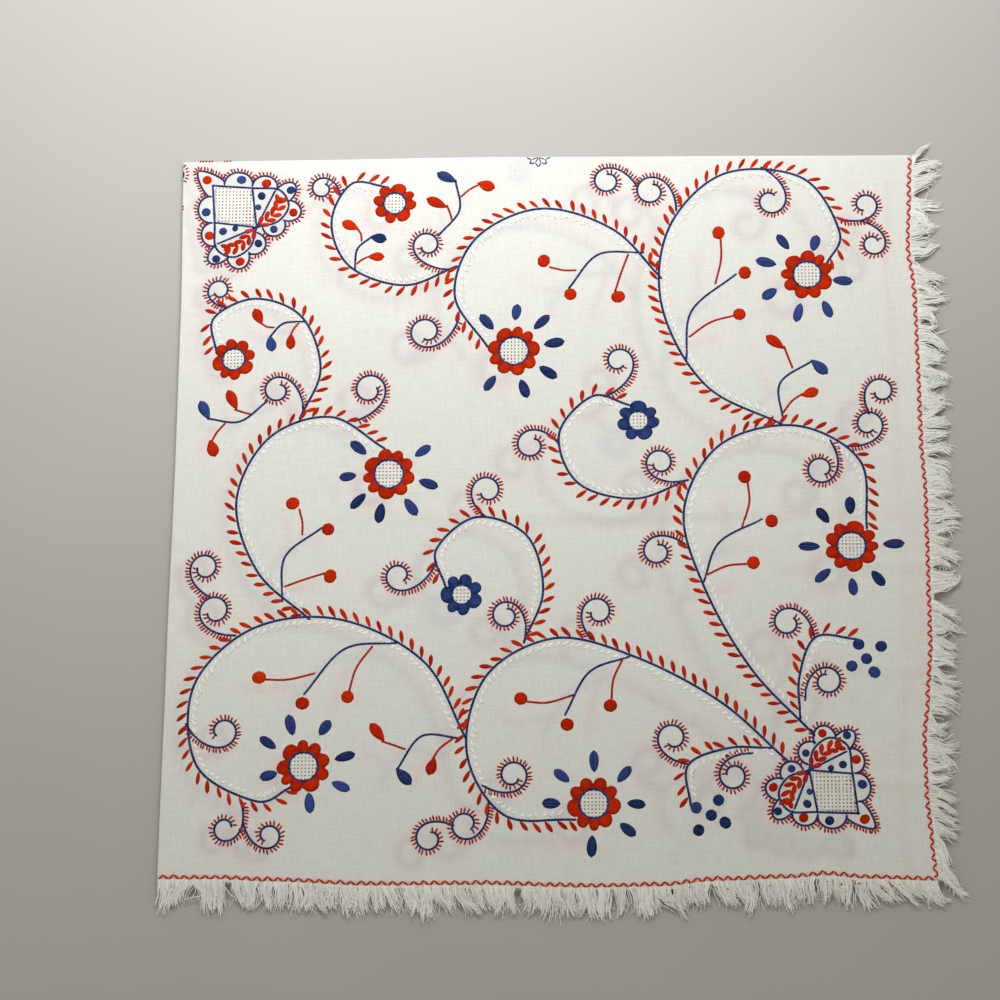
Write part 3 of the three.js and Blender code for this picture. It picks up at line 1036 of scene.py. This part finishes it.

# %% [markdown]
# ## Joining the needlework
#
# All stitches of one floss become one mesh, because thousands of separate objects would be slow and
# hard to handle. The other half of the pattern is the same stitches with u and v changed over. It
# doesn't mirror quite truly on the cloth: it sits a few millimetres further in, more so far from the
# open corner. The quarter that faces the floor has the same needlework but for the spots of the holes,
# since the folds mirror it too.
# %% Joining stitches
drift_in, drift_back = 9.0, 2.0  # of the other half: from the left fold, and towards the back one
drift_back_from = 60.0  # this far from the left fold it has all of its drift towards the back


def other_half(points):
    """The mirrored half of the pattern, with the drift that the hand worked in."""
    v, u, height = np.moveaxis(points, -1, 0)
    back = drift_back * clamp01(u / drift_back_from)
    return np.stack([u + drift_in * (1 - u / panel), v - back, height], -1)


def join(meshes):
    """Several meshes, each of points and groups of faces, as one."""
    points, groups, start = [], {}, 0
    for mesh_points, faces in meshes:
        for group in faces:
            groups.setdefault(group.shape[1], []).append(group + start)
        points.append(mesh_points)
        start += len(mesh_points)
    return np.concatenate(points), [np.concatenate(group) for _, group in sorted(groups.items())]


def repeated(group, corners, count):
    """A shape's faces for each of its copies, which have so many corners each."""
    first = corners * np.arange(count)[:, None, None]
    return (group + first).reshape(-1, group.shape[1])


def gather(floss):
    """All of a floss as one mesh: its points, faces and marks."""
    meshes, aside, tone = [], [], []
    for stitches, faces, across, own_tone, both in needlework[floss]:
        for mirrored in ((False, True) if both else (False,)):
            laid = other_half(stitches) if mirrored else stitches
            count, corners = laid.shape[:2]
            turned = [group[:, ::-1] if mirrored else group for group in faces]
            meshes.append((laid.reshape(-1, 3), [repeated(group, corners, count) for group in turned]))
            aside.append(np.broadcast_to(across, (count, corners)).ravel())
            tone.append(np.repeat(dice.uniform(0, 1, count), corners) if own_tone is None else own_tone)
    return *join(meshes), {"aside": np.concatenate(aside), "tone": np.concatenate(tone)}


# %% [markdown]
# ## The finish of the thread
#
# Embroidery cotton has a soft lustre, because its fine strands lie side by side along a stitch and each
# takes the light a little differently. The strands could be modelled one by one, but a wave and a noise
# across the stitch show them just as well and cost no points. Both raise the strands in the bump; in the
# colour the noise varies their tone and the wave paints a little shade between them. Both read "aside",
# so they follow a stitch whichever way it lies.
# %% Thread finish and pieces
strand_width = 0.55


def thread_finish(name, relief, dark, light):
    """Fine strands along each stitch, painted shade between them, and a tone that varies from strand to
    strand.
    """
    material, shader = new_finish(name, 0.65, gloss=0.05)
    aside, tone = attribute(material, "aside"), attribute(material, "tone")
    strands = maths(material, "SINE", maths(material, "MULTIPLY", aside, 2 * math.pi / strand_width))
    place = maths(material, "ADD", maths(material, "MULTIPLY", aside, 0.75),
                  maths(material, "MULTIPLY", tone, 40.0))
    streaks = add_node(material, "TexNoise", {"noise_dimensions": "1D"}, W=place, Scale=1.0, Detail=2.0)
    uneven = maths(material, "MULTIPLY", maths(material, "SUBTRACT", streaks.outputs["Fac"], 0.5), 1.6)
    worn = maths(material, "SUBTRACT", stretched_noise(material, (1, 1, 1), 450, 3.0), 0.5)
    # Painted shade between the strands, added to the random tone of the streaks and the worn noise.
    strand_shade_and_tone = maths(material, "ADD", maths(material, "MULTIPLY", strands, 0.1), uneven)
    strand_shade_and_tone = maths(material, "ADD", strand_shade_and_tone, worn)
    share = maths(material, "ADD", maths(material, "MULTIPLY", tone, 0.7), strand_shade_and_tone)
    share = maths(material, "ADD", share, 0.15, clamp=True)
    mixed = blend_colours(material, share, (*dark, 1), (*light, 1))
    set_socket(material, shader.inputs["Base Color"], mixed)
    raise_surface(material, shader, maths(material, "ADD", strands, uneven), 0.00014, relief)
    return material


# Piece, slot, relief of the strands, and the two colours that tone and painted shade between strands mix.
flosses = {
    "red": ("red_embroidery", "red_thread", 0.7, (0.42, 0.009, 0.0), (0.74, 0.036, 0.001)),
    "blue": ("blue_stems", "blue_thread", 0.7, (0.007, 0.017, 0.07), (0.043, 0.09, 0.34)),
    "petal": ("blue_petals", "blue_thread", 0.7, (0.006, 0.016, 0.065), (0.045, 0.085, 0.33)),
    "white": ("white_embroidery", "white_thread", 0.15, (0.95, 0.95, 0.93), (0.99, 0.99, 0.98)),
    "bars": ("openwork_bars", "white_thread", 0.15, (0.70, 0.68, 0.65), (0.84, 0.83, 0.80)),
    "hem": ("hem_zigzag", "red_thread", 0.7, (0.72, 0.014, 0.004), (0.92, 0.04, 0.012)),
    # The plain holes are the linen below, darkened as painted shade.
    "hole": ("openwork_hole_shade", "linen", 0.7, (0.20, 0.18, 0.13), (0.42, 0.39, 0.31)),
    "red_hole": ("openwork_red_holes", "linen", 0.7, (0.45, 0.03, 0.02), (0.65, 0.08, 0.05)),
    "blue_hole": ("openwork_blue_holes", "linen", 0.7, (0.03, 0.05, 0.16), (0.12, 0.16, 0.34)),
}
for floss, (name, slot, relief, dark, light) in flosses.items():
    points, faces, marks = gather(floss)
    finish = thread_finish(name + "_floss", relief, dark, light)
    make_piece(name, on_top(points), faces, finish, marks)
    if not floss.endswith("hole"):
        turned = [group[:, ::-1] for group in faces]
        make_piece(name + "_below", underneath(points), turned, finish, marks)


# %% [markdown]
# ## The linen
#
# Fine plain-woven linen shows its own uneven yarns as short streaks both ways, and the needlework of
# the layer below shines through it, blurred and pale. The weave is in the material: two waves of the
# yarns' pitch and noise drawn out along each direction. The show-through can't come from light here,
# because it would need every thread of the hidden layers, so it is a mark on the cloth's points, made
# by blurring the pattern and moving it by as much as the layers are out of line.
# %% Show-through
glow_cell = 3.0
glow_reach = 2.0  # how far the blur spreads


def blurred_map(floss_names):
    """How much thread of these flosses lies near each cell of the quarter."""
    spots = np.concatenate([gather(name)[0][:, :2] for name in floss_names])
    cells = int(panel / glow_cell) + 1
    edges = np.arange(cells + 1) * glow_cell
    count = np.histogram2d(spots[:, 0], spots[:, 1], [edges, edges])[0]
    kernel = np.exp(-0.5 * (np.arange(-3, 4) * glow_cell / glow_reach) ** 2)
    for axis in (0, 1):
        count = np.apply_along_axis(np.convolve, axis, count, kernel / kernel.sum(), "same")
    return clamp01(count / np.percentile(count[count > 0.3], 75))


def sample_map(values, u, v):
    """The map's value at each place, blended between the middles of its cells."""
    a, b = (np.clip(at / glow_cell - 0.5, 0, len(values) - 1.001) for at in (u, v))
    i, j = a.astype(int), b.astype(int)
    near, far = (between(values[k, j], values[k, j + 1], b - j) for k in (i, i + 1))
    return between(near, far, a - i)


cloth_points, cloth_faces = closed_sheet(section, path)
# How far the layers are out of line each way: at the left fold, and from 500 mm on.
out_of_line_u, out_of_line_v = (10.0, 23.0), (6.0, 25.0)
from_left = clamp01(cloth_points[:, 0] / 500)
glow_u = cloth_points[:, 0] + between(*out_of_line_u, from_left)
glow_v = panel - cloth_points[:, 1] - between(*out_of_line_v, from_left)
marks = {
    mark: sample_map(blurred_map(floss_names), glow_u, glow_v)
    for mark, floss_names in (("red_glow", ["red", "hem"]), ("blue_glow", ["petal", "blue"]))
}
print("show-through on", int((marks["red_glow"] > 0.2).sum()), "points")

# %% Linen finish
yarn_pitch = 0.0008  # metres from yarn to yarn
wave_radians = 20  # a wave texture turns through these in each unit at scale 1


def weave(material):
    """Height of a plain weave: two sets of waves that cross."""
    place = add_node(material, "TexCoord").outputs["Object"]
    scale = 2 * math.pi / (wave_radians * yarn_pitch)
    sets = [
        add_node(material, "TexWave", {"bands_direction": way}, Vector=place, Scale=scale)
        for way in ("X", "Y")
    ]
    return maths(material, "ADD", *(made.outputs["Fac"] for made in sets))


linen, linen_shader = new_finish("bleached_linen", 0.88)
slub_x = stretched_noise(linen, (18, 270, 1), 3.0, 3.0)
slub_y = stretched_noise(linen, (270, 18, 1), 3.0, 3.0)
slubs = maths(linen, "MULTIPLY", maths(linen, "ADD", slub_x, slub_y), 0.5)
spread = maths(linen, "MULTIPLY", maths(linen, "SUBTRACT", slubs, 0.5), 1.5)
bright = maths(linen, "ADD", spread, 0.5, clamp=True)
base = blend_colours(linen, bright, (0.61, 0.605, 0.575, 1), (0.86, 0.865, 0.86, 1))
blotches = maths(linen, "MULTIPLY", stretched_noise(linen, (1, 1, 1), 14, 4.0), 0.35)
base = blend_colours(linen, blotches, base, (0.72, 0.705, 0.64, 1))
# Mark, the share of its colour where it is strongest, and the colour.
glows = [("red_glow", 0.17, (0.74, 0.38, 0.40, 1)), ("blue_glow", 0.19, (0.32, 0.40, 0.52, 1))]
for mark, share, tint in glows:
    glow = maths(linen, "MULTIPLY", attribute(linen, mark), share)
    base = blend_colours(linen, glow, base, tint)
set_socket(linen, linen_shader.inputs["Base Color"], base)
relief = maths(linen, "ADD", maths(linen, "MULTIPLY", weave(linen), 0.4), slubs)
raise_surface(linen, linen_shader, relief, 0.00016, 0.5)

cloth = make_piece("tablecloth", cloth_points, [cloth_faces], linen, marks)
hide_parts("linen_cloth")


# %% [markdown]
# ## The fringe
#
# Just beyond the zigzag the cross yarns have been pulled out, so the rest hang loose. Left to
# themselves they gather into pointed tufts, each of a few wavy locks. Hair particles would need a base
# mesh and lose their exact roots, so each yarn is a thin three-sided tube that starts on the hem. All
# yarns of a hem are worked out together as arrays: a yarn takes its tuft's lean, its lock's bend and
# wave, and a little of its own. The four layers share their tufts, because the stack was patted down
# as one.
# %% Tufts of a hem
band_width = 3.4  # still woven, beyond the hem
tuft_step = 11.0
fan_reach = 50.0  # near a hem's two ends its tufts fan out
fan_turn = 0.55  # by this much at the very end
# How far the tufts lean from square, in radians: place from the fold, lean towards the open corner.
side_lean = [(0, -0.3), (30, -0.4), (60, -0.05), (200, 0.05), (420, 0.1), (560, 0.25), (640, 0.3),
             (665, 0.75), (723, 0.4)]
end_lean = [(0, 0.35), (60, 0.1), (140, 0.12), (200, 0.25), (300, 0.35), (360, 0.15), (500, 0.25),
            (600, 0.15), (660, 0.5), (723, 0.35)]


def tufts_of(lean_table, length, wild, seed):
    """Tufts of a hem, a row each for place from the fold, turn, length, bend, wave, waves, start."""
    draw = np.random.default_rng(seed)
    count = int(panel / tuft_step)
    middle = (np.arange(count) + 0.5) * panel / count + draw.normal(0, 2.6, count)
    fan = fan_turn * (clamp01(1 - (panel - middle) / fan_reach) - clamp01(1 - middle / fan_reach))
    turn = fan + eased(lean_table, middle) + draw.normal(0, 0.28 * wild, count)
    length = length * between(1.0, draw.uniform(0.66, 1.26, count), wild)
    bend, wave = draw.normal(0, 0.5 * wild, count), draw.uniform(0.1, 0.45, count)
    waves, start = draw.uniform(0.6, 1.4, count), draw.uniform(0, 1, count)
    return np.stack([middle, turn, length, bend, wave, waves, start])


wildness = {"side": 1.0, "end": 0.5}
tufts = {"side": tufts_of(side_lean, fringe_length, wildness["side"], 31),
         "end": tufts_of(end_lean, 28.0, wildness["end"], 32)}
print(tufts["side"].shape[1], "tufts on each hem")

# %% Yarns of a tuft
yarn_root = 0.8  # how far beyond the hem a yarn starts
yarn_stations = 10
locks_per_tuft = 3
along_yarn = np.linspace(0, 1, yarn_stations)


def ways_of_yarns(hem, per_tuft, shift, draw):
    """Each yarn's heading at its stations, its length, and how far from the fold it is rooted."""
    count = tufts[hem].shape[1]
    step = panel / count
    shape = (count, locks_per_tuft, per_tuft // locks_per_tuft)

    def for_each(values):
        """A value of the tuft or the lock, as a column with a row for each yarn."""
        return np.broadcast_to(values, shape).reshape(-1, 1)

    lock_turn = draw.normal(0, 0.11, (count, locks_per_tuft, 1))
    lock_length = draw.uniform(0.74, 1.05, (count, locks_per_tuft, 1))
    lock_place = ((np.arange(locks_per_tuft) + 0.5) / locks_per_tuft - 0.5) * step
    aside = for_each(lock_place[:, None] + draw.normal(0, 0.2, shape) * step)
    each = aside.shape
    middle, turn, length, bend, wave, waves, start = (for_each(row[:, None, None]) for row in tufts[hem])
    turn = turn + for_each(lock_turn)
    length = length * for_each(lock_length)
    length = length * (1 - 0.2 * np.abs(2 * aside / step)) * draw.uniform(0.74, 1.05, each) + band_width
    from_fold = middle + aside + shift * step

    t = along_yarn
    loose = draw.uniform(0, 1, each) < 0.06
    own = draw.normal(0, 0.07, each) + loose * draw.normal(0, 0.6, each)
    gathered = wildness[hem] * aside / length * draw.uniform(0.2, 1.2, each)
    crinkle = draw.uniform(0.04, 0.18, each) * np.sin(
        2 * math.pi * (t * draw.uniform(1.5, 3.2, each) + draw.uniform(0, 1, each)))
    way = turn * np.minimum(1, 2.5 * t) - gathered + own * t + bend * t**2
    way = way + (wave * np.sin(2 * math.pi * (t * waves + start)) + crinkle) * np.minimum(1, 3 * t)
    keep = ((from_fold > 1.5) & (from_fold < panel - 1.0))[:, 0]
    return way[keep], length[keep], from_fold[keep]


def yarns_of_run(hem, layer, per_tuft, shift, seed):
    """The middle line, the side direction and the radius of each yarn in one layer of a hem."""
    draw = np.random.default_rng(seed)
    way, length, from_fold = ways_of_yarns(hem, per_tuft, shift, draw)
    each = from_fold.shape
    stride = length / (yarn_stations - 1)
    ahead, along = (
        np.cumsum(part * stride, 1) - part[:, :1] * stride for part in (np.cos(way), np.sin(way))
    )
    z = layer * layer_pitch + solid_sheet / 2 + draw.uniform(0.0, 0.6, each)
    z = z + draw.uniform(0, 0.7, each) * np.sin(math.pi * along_yarn)
    if hem == "side":
        centre = settle(panel + yarn_root + ahead, panel - from_fold - along, z)
        aim = np.stack([np.sin(way), np.cos(way), 0 * way], -1)
    else:
        centre = settle(from_fold + along, -yarn_root - ahead, z)
        aim = np.stack([np.cos(way), np.sin(way), 0 * way], -1)
    radius = between(0.6, 0.24, along_yarn**1.6) * draw.uniform(0.75, 1.2, each)
    centre[..., 2] = np.maximum(centre[..., 2], radius + 0.03)
    return centre, aim, radius


def tubes(centre, aim, radius):
    """Three-sided closed tubes round the middle lines, each with a flat side on top."""
    up = np.array([0, 0, 1.0])
    corners = [
        centre + radius[..., None] * (math.cos(a) * aim + math.sin(a) * up)
        for a in (math.pi / 6, math.pi * 5 / 6, math.pi * 3 / 2)
    ]
    points = np.stack(corners, 2)
    quads = []
    for s in range(yarn_stations - 1):
        for c in range(3):
            a, b = 3 * s + c, 3 * s + (c + 1) % 3
            quads.append((a, b, b + 3, a + 3))
    last = 3 * (yarn_stations - 1)
    caps = [(2, 1, 0), (last, last + 1, last + 2)]
    faces = [repeated(np.array(group), 3 * yarn_stations, len(points)) for group in (caps, quads)]
    return points.reshape(-1, 3), faces


# %% [markdown]
# Frayed linen yarn is matt and a little furry. Its fluff could be modelled as hairs, but at this
# distance a fine noise in the colour and the bump shows it, and each yarn's own tone keeps it apart
# from its neighbours.
# %% Fringe finish
yarn_finish, yarn_shader = new_finish("frayed_yarn", 0.9)
yarn_tone = attribute(yarn_finish, "tone")
yarn_colour = blend_colours(yarn_finish, yarn_tone, (0.68, 0.675, 0.64, 1), (0.94, 0.94, 0.925, 1))
fluff = stretched_noise(yarn_finish, (1, 1, 1), 900)
worn_yarn = maths(yarn_finish, "MULTIPLY", fluff, 0.12)
yarn_colour = blend_colours(yarn_finish, worn_yarn, yarn_colour, (0.78, 0.76, 0.70, 1))
set_socket(yarn_finish, yarn_shader.inputs["Base Color"], yarn_colour)
raise_surface(yarn_finish, yarn_shader, fluff, 0.0002, 0.5)
print(yarn_finish.name, len(yarn_finish.node_tree.nodes), "nodes")

# %% [markdown]
# The woven band is a strip of the same sheet as the cloth, with an uneven outer edge. A side hem runs
# the length of the path round the second fold, and an end hem the width of the section round the
# first, so a strip is the sheet with a short section or a short path.
# %% Bands and pieces
band_places = np.array([0.05, 1.0, 2.0, band_width])
steady = np.ones(len(band_places))


def side_strip(n):
    return [panel + band_places, n * steady, 0 * steady, np.sign(n) * steady], path


def end_strip(height, facing):
    return section, [-band_places, height * steady, 0 * steady, facing * steady]


def ragged_edge(axis, draw):
    """Makes the strip's last row uneven; the same amounts serve both of its sides."""
    amounts = draw.uniform(-0.8, 0.6, 1000)

    def fray(points):
        edge = points[:, -1] if axis == 0 else points[-1]
        edge[:, axis] += (1 if axis == 0 else -1) * amounts[: len(edge)]
        return points

    return fray


top_yarns, hidden_yarns = 33, 9
# "runs" gives each layer of a hem, the yarns to a tuft there, and how far it is shifted in tufts.
hems = [
    {"node": "fringe_outer_side", "hem": "side", "strip": side_strip(first_bend),
     "runs": [(3, top_yarns, 0.0), (0, hidden_yarns, 0.0)]},
    {"node": "fringe_inner_side", "hem": "side", "strip": side_strip(-first_bend),
     "runs": [(2, hidden_yarns, 0.2), (1, hidden_yarns, -0.2)]},
    {"node": "fringe_upper_end", "hem": "end", "strip": end_strip(upper_ply, 1),
     "runs": [(3, top_yarns, 0.0), (2, hidden_yarns, 0.2)]},
    {"node": "fringe_lower_end", "hem": "end", "strip": end_strip(lower_ply, -1),
     "runs": [(1, hidden_yarns, -0.2), (0, hidden_yarns, 0.0)]},
]
for series, hem in enumerate(hems):
    draw = np.random.default_rng(100 + series)
    edge = ragged_edge(0 if hem["hem"] == "side" else 1, draw)
    band_points, band_faces = closed_sheet(*hem["strip"], edge)
    meshes = [(band_points, [band_faces])]
    for run, (layer, per_tuft, shift) in enumerate(hem["runs"]):
        meshes.append(tubes(*yarns_of_run(hem["hem"], layer, per_tuft, shift, 10 * series + run)))
    points, faces = join(meshes)
    per_yarn = 3 * yarn_stations
    yarn_count = (len(points) - len(band_points)) // per_yarn
    yarn_tones = np.repeat(draw.uniform(0, 1, yarn_count), per_yarn)
    tone = np.concatenate([np.zeros(len(band_points)), yarn_tones])
    piece = make_piece(hem["node"] + "_yarn", points, faces, yarn_finish, {"tone": tone},
                       rounded=False)
    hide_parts(hem["node"])
